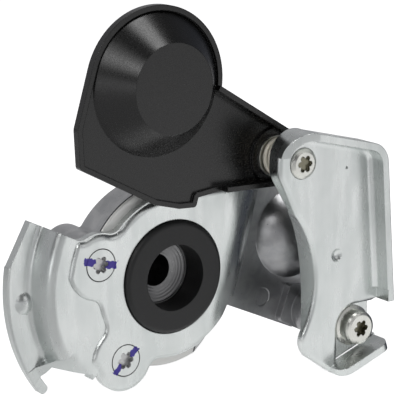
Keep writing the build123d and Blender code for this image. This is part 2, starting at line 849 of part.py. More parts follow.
def seal_ring():
    """Rubber ring with a rounded nose and a flange that the guide plate holds in."""
    corners = [
        (seal_bore_radius, 0),
        (seal_nose_radius, 0),
        (seal_nose_radius, plate_back),
        (seal_flange_radius, plate_back),
        (seal_flange_radius, seal_length),
        (sleeve_lip_radius + LOOSE_GAP, seal_length),
        (sleeve_lip_radius + LOOSE_GAP, seal_recess_depth),
        (seal_bore_radius, seal_recess_depth),
    ]
    profile = make_face(Polyline(*corners, close=True))
    profile = fillet(near(profile, corners[1]), seal_edge_round)
    return revolve(profile, Axis.Y)


def valve_sleeve():
    """Funnel behind the seal ring, with a hollow stem and cross ports."""
    lip = sleeve_lip_radius
    stem_end = seat_back
    corners = [
        (lip - sleeve_lip_thickness, sleeve_front - sleeve_lip_length),
        (lip, sleeve_front - sleeve_lip_length),
        (lip, sleeve_front),
        (sleeve_flange_radius, sleeve_front),
        (sleeve_flange_radius, sleeve_back),
        (stem_radius, sleeve_back),
        (stem_radius, stem_end),
        (disc_hub_radius + SCREW_FIT, stem_end),
        (disc_hub_radius + SCREW_FIT, stem_end - disc_hub_length),
        (funnel_throat_radius - 1, stem_end - disc_hub_length),
        (funnel_throat_radius, sleeve_front + 0.6),
        (lip - sleeve_lip_thickness, sleeve_front - 0.8),
    ]
    sleeve = turned(corners)
    port_depth = stem_end - disc_hub_length - stem_port_radius - 0.05
    for i in range(stem_ports):
        drill = Pos(0, port_depth, 0) * Rot(0, 45 + 360 / stem_ports * i, 0) * Rot(0, 90, 0) * Cylinder(
            stem_port_radius, 2 * stem_radius, align=(Align.CENTER, Align.CENTER, Align.MIN)
        )
        sleeve -= drill
    return sleeve


def valve_seat():
    """Brass ring that guides the stem and carries the sealing lip."""
    guide = stem_radius + RUNNING_FIT
    bottom = seat_ring_radius - o_ring_wire
    front = pocket_back + groove_front
    back = front + GROOVE_WIDTH * o_ring_wire
    stem_bottom = guide + stem_o_ring_wire
    stem_front = pocket_back + stem_groove_front
    stem_back = stem_front + GROOVE_WIDTH * stem_o_ring_wire
    corners = [
        (guide, pocket_back),
        (seat_ring_radius, pocket_back),
        (seat_ring_radius, front),
        (bottom, front),
        (bottom, back),
        (seat_ring_radius, back),
        (seat_ring_radius, seat_back - 0.6),
        (seat_lip_radius + 1.0, seat_back - 0.6),
        (seat_lip_radius + 0.6, seat_back),
        (seat_lip_radius, seat_back),
        (seat_lip_radius, pocket_back + seat_guide_length),
        (guide, pocket_back + seat_guide_length),
        (guide, stem_back),
        (stem_bottom, stem_back),
        (stem_bottom, stem_front),
        (guide, stem_front),
    ]
    return turned(corners)


def ring(inner_radius, wire, depth):
    return Pos(0, depth, 0) * Rot(90, 0, 0) * Torus(inner_radius + wire / 2, wire / 2)


def seat_o_ring():
    """Seals the seat against its bore in the housing."""
    inner = seat_ring_radius - o_ring_wire + 0.02
    return ring(inner, o_ring_wire - 0.02, pocket_back + groove_front + 0.5 * GROOVE_WIDTH * o_ring_wire)


def stem_o_ring():
    """Seals the seat's guide against the moving stem."""
    middle = pocket_back + stem_groove_front + 0.5 * GROOVE_WIDTH * stem_o_ring_wire
    return ring(stem_radius + 0.5 * RUNNING_FIT, stem_o_ring_wire, middle)


def disc_washer():
    """Rubber facing that closes on the seat's lip."""
    return turned(
        [
            (disc_hub_radius + SCREW_FIT, seat_back),
            (disc_radius, seat_back),
            (disc_radius, washer_back),
            (disc_hub_radius + SCREW_FIT, washer_back),
        ]
    )


def valve_disc():
    """Disc that backs the facing, with a hub pressed into the stem and a spring seat."""
    return turned(
        [
            (0, seat_back - disc_hub_length),
            (disc_hub_radius, seat_back - disc_hub_length),
            (disc_hub_radius, washer_back),
            (disc_radius, washer_back),
            (disc_radius, disc_back - 1.0),
            (valve_spring_radius + 1.6, disc_back - 1.0),
            (valve_spring_radius + 1.6, disc_back),
            (0, disc_back),
        ]
    )


def plate_screw(place):
    """Countersunk screw, flush with the guide plate."""
    head = plate_screw_head_radius
    shank = plate_screw_radius
    front = plate_front
    corners = [(0, front), (head, front), (shank, front + head - shank)]
    corners += [(shank, front + plate_screw_length - 1), (shank - 1, front + plate_screw_length)]
    corners += [(0, front + plate_screw_length)]
    return turned(corners, place) - star_socket(place, front, plate_socket_depth)


def bracket_screw():
    """Pan head with a flange, holding the bracket's foot to its boss."""
    seat = pocket_floor_front
    flange = seat - bracket_screw_flange
    top = flange - bracket_screw_head
    end = pocket_floor_back + bracket_screw_grip
    corners = [
        (0, top),
        (bracket_screw_head_radius - 1.2, top),
        (bracket_screw_head_radius - 0.35, top + 0.35),
        (bracket_screw_head_radius, top + 1.2),
        (bracket_screw_head_radius, flange),
        (bracket_screw_flange_radius, flange + 0.4),
        (bracket_screw_flange_radius, seat),
        (bracket_screw_radius, seat),
        (bracket_screw_radius, end - 1),
        (bracket_screw_radius - 1, end),
        (0, end),
    ]
    return turned(corners, bracket_screw_place) - star_socket(bracket_screw_place, top, socket_depth)


def hinge_screw():
    """Long screw that clamps bracket and bush to the hinge boss."""
    seat = bracket_front
    top = seat - hinge_head_height
    end = arm_front + hinge_screw_grip
    corners = [
        (0, top),
        (hinge_head_radius - 1.4, top),
        (hinge_head_radius - 0.4, top + 0.6),
        (hinge_head_radius, top + 1.4),
        (hinge_head_radius, seat),
        (hinge_screw_radius, seat),
        (hinge_screw_radius, end - 1),
        (hinge_screw_radius - 1, end),
        (0, end),
    ]
    return turned(corners, hinge_place) - star_socket(hinge_place, top, hinge_socket_depth)


def hinge_bush():
    """Spacer tube that the cover turns and lifts on."""
    inner = hinge_screw_radius + SCREW_FIT
    return disc(hinge_place, bush_radius, bracket_back, arm_front) - disc(
        hinge_place, inner, bracket_back - 1, arm_front + 1
    )


def thrust_washer():
    """Plain washer between the cover's hub and the hinge boss."""
    hole = bush_radius + RUNNING_FIT
    front = arm_front - thrust_washer_thickness
    washer = disc(hinge_place, thrust_washer_radius, front, arm_front)
    return washer - disc(hinge_place, hole, front - 1, arm_front + 1)


def spring_seat():
    """Washer that keeps the spring from biting into the moulded hub."""
    hole = bush_radius + RUNNING_FIT
    front = hub_front - spring_seat_thickness
    outer = cover_spring_radius + cover_spring_wire / 2 + 0.4
    return disc(hinge_place, outer, front, hub_front) - disc(hinge_place, hole, front - 1, hub_front + 1)


def cover_spring():
    return coil(
        hinge_place,
        cover_spring_radius,
        cover_spring_wire,
        cover_spring_turns,
        bracket_back,
        hub_front - spring_seat_thickness,
    )


def valve_spring():
    return coil((0, 0), valve_spring_radius, valve_spring_wire, valve_spring_turns, disc_back, chamber_back)


pieces = {
    "housing": housing(),
    "guide_plate": guide_plate(),
    "side_bracket": side_bracket(),
    "cover": cover(),
    "seal_ring": seal_ring(),
    "valve_sleeve": valve_sleeve(),
    "valve_seat": valve_seat(),
    "seat_o_ring": seat_o_ring(),
    "stem_o_ring": stem_o_ring(),
    "disc_washer": disc_washer(),
    "valve_disc": valve_disc(),
    "valve_spring": valve_spring(),
    "plate_screw_upper": plate_screw(screw_upper),
    "plate_screw_lower": plate_screw(screw_lower),
    "bracket_screw": bracket_screw(),
    "hinge_screw": hinge_screw(),
    "hinge_bush": hinge_bush(),
    "thrust_washer": thrust_washer(),
    "spring_seat": spring_seat(),
    "cover_spring": cover_spring(),
}

for name, piece in pieces.items():
    export_step(piece, f"parts/{name}.step")
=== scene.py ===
import json
import math

import bpy
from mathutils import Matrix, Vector

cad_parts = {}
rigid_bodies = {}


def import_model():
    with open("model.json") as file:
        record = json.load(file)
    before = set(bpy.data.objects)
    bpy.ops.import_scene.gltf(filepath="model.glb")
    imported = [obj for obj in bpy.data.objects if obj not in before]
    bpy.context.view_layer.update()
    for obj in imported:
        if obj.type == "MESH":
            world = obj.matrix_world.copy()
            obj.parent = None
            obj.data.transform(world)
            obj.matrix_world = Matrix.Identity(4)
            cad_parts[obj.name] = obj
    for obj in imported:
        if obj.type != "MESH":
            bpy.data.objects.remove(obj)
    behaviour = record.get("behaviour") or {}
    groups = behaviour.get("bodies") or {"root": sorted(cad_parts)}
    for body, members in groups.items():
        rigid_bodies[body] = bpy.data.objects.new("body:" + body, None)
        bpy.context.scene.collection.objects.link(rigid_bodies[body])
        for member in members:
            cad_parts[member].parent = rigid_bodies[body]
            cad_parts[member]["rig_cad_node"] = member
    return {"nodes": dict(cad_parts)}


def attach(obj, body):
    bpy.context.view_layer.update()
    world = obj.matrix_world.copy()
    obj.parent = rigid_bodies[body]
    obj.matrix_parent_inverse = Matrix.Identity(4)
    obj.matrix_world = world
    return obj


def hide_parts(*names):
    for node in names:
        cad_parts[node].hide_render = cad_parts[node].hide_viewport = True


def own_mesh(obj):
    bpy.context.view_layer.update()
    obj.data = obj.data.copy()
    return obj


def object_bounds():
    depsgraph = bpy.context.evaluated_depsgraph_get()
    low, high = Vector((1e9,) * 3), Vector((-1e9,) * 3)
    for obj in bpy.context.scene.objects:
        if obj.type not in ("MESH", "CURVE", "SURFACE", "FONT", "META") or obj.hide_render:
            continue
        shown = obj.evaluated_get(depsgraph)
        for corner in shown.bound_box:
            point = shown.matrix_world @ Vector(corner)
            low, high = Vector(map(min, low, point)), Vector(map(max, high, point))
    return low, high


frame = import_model()
cad_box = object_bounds()
nodes = frame["nodes"]


# Camera of the photograph, in metres, degrees and millimetres of lens

CAMERA_PLACE = (-0.32844, -0.47396, 0.16788)
CAMERA_AZIMUTH = -35.504
CAMERA_ELEVATION = 13.829
CAMERA_SENSOR = 36
CAMERA_LENS = 166.895
CAMERA_NEAREST = 0.01


# Finishes: two linear colours and two values of roughness, between which each one wanders

ZINC = ((0.70, 0.72, 0.71), (0.58, 0.61, 0.60)), (0.22, 0.34)
PLATE_SCREW_ZINC = ((0.70, 0.72, 0.71), (0.58, 0.61, 0.60)), (0.26, 0.36)
YELLOWED_ZINC = ((0.72, 0.72, 0.68), (0.60, 0.60, 0.56)), (0.22, 0.34)
CAST_SKIN = ((0.56, 0.56, 0.56), (0.45, 0.455, 0.46)), (0.27, 0.38)
THREAD_METAL = ((0.60, 0.60, 0.60), (0.50, 0.50, 0.51)), (0.26, 0.36)
SLEEVE_METAL = ((0.25, 0.25, 0.25), (0.19, 0.19, 0.195)), (0.26, 0.36)
VALVE_METAL = ((0.05, 0.05, 0.052), (0.035, 0.035, 0.037)), (0.34, 0.44)
SPRING_WIRE = ((0.80, 0.76, 0.66), (0.66, 0.62, 0.53)), (0.42, 0.55)
BLACK_PLASTIC = ((0.0046, 0.0044, 0.0042), (0.0030, 0.0030, 0.0030)), (0.22, 0.32)
SEAL_RUBBER = ((0.0040, 0.0040, 0.0044), (0.0030, 0.0031, 0.0034)), (0.44, 0.54)


# What lies on a finish in places, and the painted shade in the screws' gaps and sockets and on the
# cast arm: its linear colour, and the roughness of the faced ring

BLUE_PAINT = (0.050, 0.028, 0.34)
# painted shade: the dark ring in the gap round a plate screw's head, and the darker insides of the
# screws' sockets
HEAD_GAP_PAINTED_SHADE = (0.05, 0.05, 0.05)
PLATE_SOCKET_PAINTED_SHADE = (0.5, 0.5, 0.5)
DEEP_SOCKET_PAINTED_SHADE = (0.21, 0.20, 0.15)
# painted shade that darkens the cast arm towards the bracket
CAST_ARM_PAINTED_SHADE = (0.66, 0.66, 0.67)
CAST_FACED_TONE = (0.74, 0.74, 0.72)
CAST_LINE_TONE = (0.06, 0.06, 0.065)
CAST_FACED_ROUGH = 0.42


# How much of a metal each finish is

METAL = 1.0
CAST_FACED_METALLIC = 0.45
WIRE_METALLIC = 0.3
NOT_METAL = 0.0


# Depth of the relief in the finishes, in metres, and how strongly it shows

EDGE_ROUND = 0.0004
EDGE_SAMPLES = 4
GRAIN_HEIGHT = 0.00002
RING_HEIGHT = 0.00003
PLATE_WAVES = 0.00011
BRACKET_WAVES = 0.00009
PLATE_SCREW_WAVES = 0.00003
SCREW_WAVES = 0.00002
FULL = 1.0
ZINC_GRAIN = 0.35
CAST_GRAIN = 0.4
SLEEVE_GRAIN = 0.5
PLAIN_GRAIN = 0.3
PLASTIC_GRAIN = 0.08


# Scales of the noises: slow and fine unevenness of each finish, and what only one finish has

PLAIN_UNEVEN = 40.0, 900.0
PLASTIC_UNEVEN = 40.0, 1500.0
ZINC_UNEVEN = 55.0, 1100.0
CAST_UNEVEN = 60.0, 1600.0
ZINC_STREAKS = 260.0
STREAK_STRETCH = (1.0, 1.0, 0.22)
STREAK_SHARE = 0.3
PRESS_WAVES = 95.0
CAST_BLOTCHES = 210.0
BLOTCH_EDGES = 0.36, 0.64
PAINT_EDGES = 1400.0


# Places of the finishes, in metres. The object faces -Y, so Y is its depth

FACED_RADIUS = 0.0345
FACED_BACK = 0.00548
SKIN_LINE_DEPTH = 0.0057
SKIN_LINE_HALF = 0.00022
CASTING_RING_PITCH = 0.00045
SLEEVE_RING_PITCH = 0.0007
# where the painted shade on the cast arm starts and where it is full, across in X
ARM_PAINTED_SHADE_SPAN = 0.018, 0.034
PAINT_BACK = 0.0019
PAINT_RAGGED = 0.0016
# Middle across and up, turn in degrees, half length and half width of each dash
PAINT_DASHES = (
    (-0.0315, 0.0099, -14, 0.0024, 0.0012),
    (-0.0238, 0.0079, -10, 0.0022, 0.0012),
    (-0.0157, -0.0227, 40, 0.0022, 0.0011),
    (-0.0214, -0.0274, 42, 0.0021, 0.0010),
)

# Middle of each screw's head as seen from the front, and the depth of its front
UPPER_SCREW = (-0.0275, 0, 0.0084), 0.0015
LOWER_SCREW = (-0.0185, 0, -0.0249), 0.0015
HINGE_SCREW = (0.0379, 0, 0.0362), -0.0190
BRACKET_SCREW = (0.0619, 0, -0.0234), -0.0203
HEAD_RADIUS = 0.00525
HEAD_GAP_HALF = 0.00016
SOCKET_RADIUS = 0.0036
SOCKET_LIP = 0.00015


# Thread of the port, in metres

PORT_AXIS = (0.0563, 0.0044)
PORT_MOUTH = 0.037
PORT_BORE = 0.0102
THREAD_START = 0.001
THREAD_PITCH = 0.0015
THREAD_TURNS = 8
THREAD_STEPS = 36
THREAD_DEPTH = 0.0006
THREAD_WIDTH = 0.0011
THREAD_FOOT = 0.00005
THREAD_EDGE_ROUND = 0.00004
SAME_POINT = 0.000001


# Springs

# Name, joint that presses it, still end and moving end along Y in metres, and how far the joint moves
SPRINGS = (
    ("cover_spring", "cover_lift", -0.0152, -0.0038, 0.0030),
    ("valve_spring", "valve_slide", 0.03545, 0.02825, 0.0025),
)
SPRING_SAME_POINT = 0.000005
SMOOTH_BELOW = math.radians(40)


# Studio

WHITE = (1, 1, 1)
# Stops of each wall: height of the direction, from 0 level to 1 straight up, and its brightness
FRONT_WALL = (0.0, 0.70), (0.10, 0.70), (0.21, 0.12), (0.97, 0.10)
BACK_WALL = (0.0, 0.46), (0.45, 0.48), (0.70, 0.36), (0.90, 0.12)
WALL_BLUE = 1.03
# How far back and to the right a direction points where one wall gives way to the next
FRONT_TO_BACK = 0.0, 0.35
ROOM_TO_SIDE = 0.55, 0.90
SIDE_TONE = (0.092, 0.098, 0.118)

FLOOR_SIZE = 6
FLOOR_GAP = 0.001
FLOOR_TONE = (0.95, 0.95, 0.95)
# painted reflection: the dark tone metal sees on the right of the floor, and the glow metal sees
# elsewhere
FLOOR_PAINTED_DARK_REFLECTION = (0.095, 0.102, 0.128)
FLOOR_ROUGH = 0.9
FLOOR_SPECULAR = 0.1
FLOOR_GLOW = 0.8
FLOOR_PAINTED_REFLECTION_GLOW = 0.50
# The line at which the painted reflection of the floor falls off on the left, as a slant and two
# places across
FALL_OFF_SLANT = 0.35
FALL_OFF = -0.07, -0.02
# Middle from which directions on the floor are measured, and where on the right its painted
# reflection turns dark
FLOOR_MIDDLE = (0.055, 0, 0)
DARK_RIGHT = 0.70, 0.86

LAMP_TARGET = (0.0, 0.0, 0.03)
# Name, place, width, height and watts of each lamp
LAMPS = (
    ("overhead", (0.12, -0.20, 1.00), 0.36, 0.36, 2.3),
    ("left", (-0.63, -0.34, 0.58), 0.50, 0.45, 1.1),
    ("front_right", (0.27, -0.68, 0.37), 0.55, 0.40, 0.5),
    ("low_left", (-0.70, -0.37, 0.08), 0.30, 0.25, 0.2),
    ("beside_camera", (-0.68, -0.50, 0.60), 0.22, 0.22, 0.80),
    ("upper_left", (-0.56, 0.02, 0.83), 0.30, 0.30, 0.5),
)


def photo_camera():
    azimuth = math.radians(CAMERA_AZIMUTH)
    elevation = math.radians(CAMERA_ELEVATION)
    level = math.cos(elevation)
    back = Vector((math.sin(azimuth) * level, -math.cos(azimuth) * level, math.sin(elevation)))
    bpy.ops.object.camera_add(location=CAMERA_PLACE)
    camera = bpy.context.active_object
    camera.name = "photo_camera"
    camera.rotation_euler = back.to_track_quat("Z", "Y").to_euler()
    camera.data.sensor_width = CAMERA_SENSOR
    camera.data.lens = CAMERA_LENS
    camera.data.clip_start = CAMERA_NEAREST
    bpy.context.scene.camera = camera


photo_camera()


# Node helpers

def feed(tree, socket, value):
    """Links a socket to another one, or sets its value. A colour is given without its alpha."""
    if isinstance(value, bpy.types.NodeSocket):
        tree.links.new(value, socket)
    elif socket.type == "RGBA":
        socket.default_value = (*value, 1)
    else:
        socket.default_value = value


def put(tree, kind, inputs=(), **settings):
    """Adds a node with its settings and feeds its inputs, which are given by name or by number."""
    node = tree.nodes.new(kind)
    for key, value in settings.items():
        setattr(node, key, value)
    for key, value in dict(inputs).items():
        feed(tree, node.inputs[key], value)
    return node


def arrange(tree, column_width=220, row_height=260):
    """Sets the nodes out in columns, each one to the left of all that it feeds."""
    column = {node.name: 0 for node in tree.nodes}
    for _ in tree.nodes:
        for link in tree.links:
            past = column[link.to_node.name] + 1
            column[link.from_node.name] = max(column[link.from_node.name], past)
    rows = {}
    for node in tree.nodes:
        place = column[node.name]
        node.location = (-column_width * place, -row_height * rows.get(place, 0))
        rows[place] = rows.get(place, 0) + 1


def maths(tree, operation, *values):
    """A Math node fed by sockets or by plain numbers."""
    return put(tree, "ShaderNodeMath", enumerate(values), operation=operation).outputs["Value"]


def vector_maths(tree, operation, *values):
    return put(tree, "ShaderNodeVectorMath", enumerate(values), operation=operation).outputs["Vector"]


def split(tree, vector):
    return put(tree, "ShaderNodeSeparateXYZ", {"Vector": vector}).outputs


def radius_of(tree, vector):
    """Distance from the line through the origin that runs from front to back."""
    flat = vector_maths(tree, "MULTIPLY", vector, (1, 0, 1))
    return put(tree, "ShaderNodeVectorMath", {0: flat}, operation="LENGTH").outputs["Value"]


def noise(tree, vector, scale, **more):
    return put(tree, "ShaderNodeTexNoise", {"Vector": vector, "Scale": scale, **more}).outputs["Fac"]


def slide(tree, source, start, end, low, high):
    """Goes from low to high while the source goes from start to end, and stays there beyond them."""
    inputs = {"Value": source, "From Min": start, "From Max": end, "To Min": low, "To Max": high}
    return put(tree, "ShaderNodeMapRange", inputs).outputs["Result"]


def wander(tree, source, low, high):
    """Stretches a noise, which mostly lies between 0.3 and 0.7, over a range of values."""
    return slide(tree, source, 0.3, 0.7, low, high)


def blend(tree, factor, first, second, **settings):
    """Colour that goes from the first to the second with the factor."""
    inputs = {"Factor": factor, "A": first, "B": second}
    return put(tree, "ShaderNodeMix", inputs, data_type="RGBA", **settings).outputs["Result"]


def choose(tree, mask, outside, inside):
    """One value where the mask is zero and another where it is one."""
    inputs = {"Factor": mask, "A": outside, "B": inside}
    return put(tree, "ShaderNodeMix", inputs, data_type="FLOAT").outputs["Result"]


def soft_edge(tree, radius=EDGE_ROUND):
    """Normals that run round the sharp edges, as the broken edges of the real pieces do."""
    return put(tree, "ShaderNodeBevel", {"Radius": radius}, samples=EDGE_SAMPLES).outputs["Normal"]


def bump(tree, height, strength, distance, normal):
    inputs = {"Height": height, "Strength": strength, "Distance": distance, "Normal": normal}
    return put(tree, "ShaderNodeBump", inputs).outputs["Normal"]


# Effects that more than one material uses

def new_group(name, inputs, outputs):
    """A node group and its inputs, each a number with its default, or a vector where that is None."""
    tree = bpy.data.node_groups.new(name, "ShaderNodeTree")
    for title, default in inputs.items():
        kind = "NodeSocketVector" if default is None else "NodeSocketFloat"
        socket = tree.interface.new_socket(title, in_out="INPUT", socket_type=kind)
        if default is not None:
            socket.default_value = default
    for title in outputs:
        tree.interface.new_socket(title, in_out="OUTPUT", socket_type="NodeSocketFloat")
    return tree, put(tree, "NodeGroupInput").outputs


def close_group(tree, outputs):
    put(tree, "NodeGroupOutput", outputs)
    arrange(tree)
    return tree


def effect(tree, group, inputs):
    """Places a shared effect with its own values, and returns its outputs."""
    return put(tree, "ShaderNodeGroup", inputs, node_tree=group).outputs


def mottle_group():
    """Slow and fine unevenness of a surface, each as a value about one half."""
    slow_scale, fine_scale = PLAIN_UNEVEN
    inputs = {"Vector": None, "Slow scale": slow_scale, "Fine scale": fine_scale}
    tree, come = new_group("surface_mottle", inputs, ("Slow", "Fine"))
    slow = noise(tree, come["Vector"], come["Slow scale"], Detail=3.0)
    fine = noise(tree, come["Vector"], come["Fine scale"], Detail=4.0, Roughness=0.6)
    return close_group(tree, {"Slow": slow, "Fine": fine})


def axis_group():
    """Depth along the coupling's axis and distance from it."""
    tree, come = new_group("coupling_axis", {"Vector": None}, ("Depth", "Radius"))
    depth = split(tree, come["Vector"])["Y"]
    return close_group(tree, {"Depth": depth, "Radius": radius_of(tree, come["Vector"])})


def rings_group():
    """Height of the fine rings that a turning tool leaves, as a wave over a distance."""
    inputs = {"Distance": 0.0, "Pitch": CASTING_RING_PITCH}
    tree, come = new_group("turned_rings", inputs, ("Height",))
    turns = maths(tree, "DIVIDE", come["Distance"], come["Pitch"])
    height = maths(tree, "SINE", maths(tree, "MULTIPLY", turns, 2 * math.pi))
    return close_group(tree, {"Height": height})


def head_group():
    """For a screw seen from the front: masks of the thin gap round its head and of the inside of its
    socket, where shade is painted.
    """
    inputs = {"Vector": None, "Centre": None, "Front": 0.0}
    tree, come = new_group("screw_head", inputs, ("Gap", "Socket"))
    radius = radius_of(tree, vector_maths(tree, "SUBTRACT", come["Vector"], come["Centre"]))
    off = maths(tree, "ABSOLUTE", maths(tree, "SUBTRACT", radius, HEAD_RADIUS))
    depth = maths(tree, "SUBTRACT", split(tree, come["Vector"])["Y"], come["Front"])
    deep = maths(tree, "GREATER_THAN", depth, SOCKET_LIP)
    near_axis = maths(tree, "LESS_THAN", radius, SOCKET_RADIUS)
    gap = maths(tree, "LESS_THAN", off, HEAD_GAP_HALF)
    return close_group(tree, {"Gap": gap, "Socket": maths(tree, "MULTIPLY", deep, near_axis)})


def dash_group():
    """Mask of one brushed paint dash: a ragged rectangle, turned in the plane of the plate."""
    inputs = {
        "Vector": None, "Centre X": 0.0, "Centre Z": 0.0, "Cosine": 1.0, "Sine": 0.0,
        "Half length": 0.002, "Half width": 0.001,
    }
    tree, come = new_group("paint_dash", inputs, ("Mask",))
    place = split(tree, come["Vector"])
    uneven = maths(tree, "SUBTRACT", noise(tree, come["Vector"], PAINT_EDGES), 0.5)
    ragged = maths(tree, "MULTIPLY", uneven, PAINT_RAGGED)
    right = maths(tree, "SUBTRACT", place["X"], come["Centre X"])
    up = maths(tree, "SUBTRACT", place["Z"], come["Centre Z"])

    def product(value, share):
        return maths(tree, "MULTIPLY", value, come[share])

    lengthways = maths(tree, "ADD", product(right, "Cosine"), product(up, "Sine"))
    sideways = maths(tree, "SUBTRACT", product(up, "Cosine"), product(right, "Sine"))
    mask = maths(tree, "LESS_THAN", place["Y"], PAINT_BACK)
    for distance, limit in ((lengthways, "Half length"), (sideways, "Half width")):
        reach = maths(tree, "ADD", maths(tree, "ABSOLUTE", distance), ragged)
        mask = maths(tree, "MULTIPLY", mask, maths(tree, "LESS_THAN", reach, come[limit]))
    return close_group(tree, {"Mask": mask})


def marks_group(dash):
    """Mask of the four paint dashes, two across each plate screw."""
    tree, come = new_group("paint_marks", {"Vector": None}, ("Mask",))
    mask = 0.0
    for x, z, degrees, half_length, half_width in PAINT_DASHES:
        turn = math.radians(degrees)
        mark = effect(tree, dash, {
            "Vector": come["Vector"], "Centre X": x, "Centre Z": z,
            "Cosine": math.cos(turn), "Sine": math.sin(turn),
            "Half length": half_length, "Half width": half_width,
        })
        mask = maths(tree, "MAXIMUM", mark["Mask"], mask)
    return close_group(tree, {"Mask": mask})


mottle = mottle_group()
axis = axis_group()
rings = rings_group()
screw_head = head_group()
paint_marks = marks_group(dash_group())


# Kinds of material

def new_material(name):
    """A material, its node tree, and Object coordinates in it."""
    material = bpy.data.materials.new(name)
    material.use_nodes = True
    tree = material.node_tree
    return material, tree, put(tree, "ShaderNodeTexCoord").outputs["Object"]


def shade(tree, values):
    """Feeds the sockets of the material's shader and sets the nodes out."""
    for name, value in values.items():
        feed(tree, tree.nodes["Principled BSDF"].inputs[name], value)
    arrange(tree)


def unevenness(tree, place, scales):
    """The shared mottle at a finish's slow and fine scale."""
    slow, fine = scales
    return effect(tree, mottle, {"Vector": place, "Slow scale": slow, "Fine scale": fine})


def toned(name, finish, metallic, scales):
    """A material whose colour and roughness wander over the surface, still without its normal."""
    material, tree, place = new_material(name)
    tones, rough = finish
    uneven = unevenness(tree, place, scales)
    shade(tree, {
        "Base Color": blend(tree, uneven["Slow"], *tones),
        "Roughness": wander(tree, uneven["Fine"], *rough),
        "Metallic": metallic,
    })
    return material, tree, place, uneven["Fine"]


def plain(name, finish, metallic, scales=PLAIN_UNEVEN, grain=PLAIN_GRAIN, edge=EDGE_ROUND):
    """An even material with a fine grain."""
    material, tree, _, fine = toned(name, finish, metallic, scales)
    shade(tree, {"Normal": bump(tree, fine, grain, GRAIN_HEIGHT, soft_edge(tree, edge))})
    return material


def turned(name, finish, pitch, grain):
    """Turned metal with the tool's rings round the coupling's axis."""
    material, tree, place, _ = toned(name, finish, METAL, PLAIN_UNEVEN)
    around = effect(tree, axis, {"Vector": place})
    distance = maths(tree, "ADD", around["Radius"], around["Depth"])
    height = effect(tree, rings, {"Distance": distance, "Pitch": pitch})["Height"]
    shade(tree, {"Normal": bump(tree, height, grain, RING_HEIGHT, soft_edge(tree))})
    return material


def plated(name, finish, waves, painted=False, screw=None, gap_shade=None, socket_shade=None):
    """Zinc over steel: cloudy colour, streaked gloss, soft waves, paint where marked, and on a screw
    painted shade in the gap round its head and in its socket.
    """
    material, tree, place = new_material(name)
    tones, rough = finish
    uneven = unevenness(tree, place, ZINC_UNEVEN)
    drawn = put(tree, "ShaderNodeMapping", {"Vector": place, "Scale": STREAK_STRETCH})
    streak = noise(tree, drawn.outputs["Vector"], ZINC_STREAKS, Detail=5.0)
    wave = noise(tree, place, PRESS_WAVES, Detail=1.5)
    clouds = maths(tree, "MULTIPLY", uneven["Slow"], 1 - STREAK_SHARE)
    cloudy = maths(tree, "ADD", clouds, maths(tree, "MULTIPLY", streak, STREAK_SHARE))
    colour = blend(tree, wander(tree, cloudy, 0.0, 1.0), *tones)
    if screw is not None:
        centre, front = screw
        head = effect(tree, screw_head, {"Vector": place, "Centre": centre, "Front": front})
        # painted shade in the gap round the head and inside the socket
        if gap_shade is not None:
            colour = blend(tree, head["Gap"], colour, gap_shade)
        colour = blend(tree, head["Socket"], colour, socket_shade)
    metallic = METAL
    if painted:
        mask = effect(tree, paint_marks, {"Vector": place})["Mask"]
        colour = blend(tree, mask, colour, BLUE_PAINT)
        metallic = maths(tree, "SUBTRACT", METAL, mask)
    pressed = bump(tree, wave, FULL, waves, soft_edge(tree))
    shade(tree, {
        "Base Color": colour,
        "Metallic": metallic,
        "Roughness": wander(tree, streak, *rough),
        "Normal": bump(tree, uneven["Fine"], ZINC_GRAIN, GRAIN_HEIGHT, pressed),
    })
    return material


def plate_screw(name, screw):
    """A countersunk screw of the guide plate, with the paint that runs over it, and painted shade in
    the gap round its head and in its socket.
    """
    return plated(
        name, PLATE_SCREW_ZINC, PLATE_SCREW_WAVES, True, screw, HEAD_GAP_PAINTED_SHADE, PLATE_SOCKET_PAINTED_SHADE,
    )


def deep_screw(name, screw):
    """A screw with a raised head, whose socket is darkened with painted shade."""
    return plated(name, YELLOWED_ZINC, SCREW_WAVES, screw=screw, socket_shade=DEEP_SOCKET_PAINTED_SHADE)


def cast_aluminium():
    """Cast metal, with a bright faced ring at the front, a dark line where its skin starts, and
    painted shade that darkens the arm.
    """
    material, tree, place = new_material("cast_aluminium")
    tones, rough = CAST_SKIN
    uneven = unevenness(tree, place, CAST_UNEVEN)
    around = effect(tree, axis, {"Vector": place})
    blotch = noise(tree, place, CAST_BLOTCHES, Detail=6.0, Distortion=0.6)
    skin = blend(tree, slide(tree, blotch, *BLOTCH_EDGES, 0.0, 1.0), *tones)
    # painted shade: the arm is darkened towards the bracket
    painted_arm_shade = slide(tree, split(tree, place)["X"], *ARM_PAINTED_SHADE_SPAN, 0.0, 1.0)
    skin = blend(tree, painted_arm_shade, skin, CAST_ARM_PAINTED_SHADE, blend_type="MULTIPLY")
    near_axis = maths(tree, "LESS_THAN", around["Radius"], FACED_RADIUS)
    in_front = maths(tree, "LESS_THAN", around["Depth"], FACED_BACK)
    faced = maths(tree, "MULTIPLY", in_front, near_axis)
    off = maths(tree, "ABSOLUTE", maths(tree, "SUBTRACT", around["Depth"], SKIN_LINE_DEPTH))
    line = maths(tree, "MULTIPLY", maths(tree, "LESS_THAN", off, SKIN_LINE_HALF), near_axis)
    tooled = effect(tree, rings, {"Distance": around["Radius"], "Pitch": CASTING_RING_PITCH})
    height = choose(tree, faced, uneven["Fine"], tooled["Height"])
    shade(tree, {
        "Base Color": blend(tree, line, blend(tree, faced, skin, CAST_FACED_TONE), CAST_LINE_TONE),
        "Metallic": choose(tree, faced, METAL, CAST_FACED_METALLIC),
        "Roughness": choose(tree, faced, wander(tree, uneven["Fine"], *rough), CAST_FACED_ROUGH),
        "Normal": bump(tree, height, CAST_GRAIN, RING_HEIGHT, soft_edge(tree)),
    })
    return material


def dress(material, *names):
    for name in names:
        mesh = nodes[name].data
        mesh.materials.clear()
        mesh.materials.append(material)


# Materials of the pieces

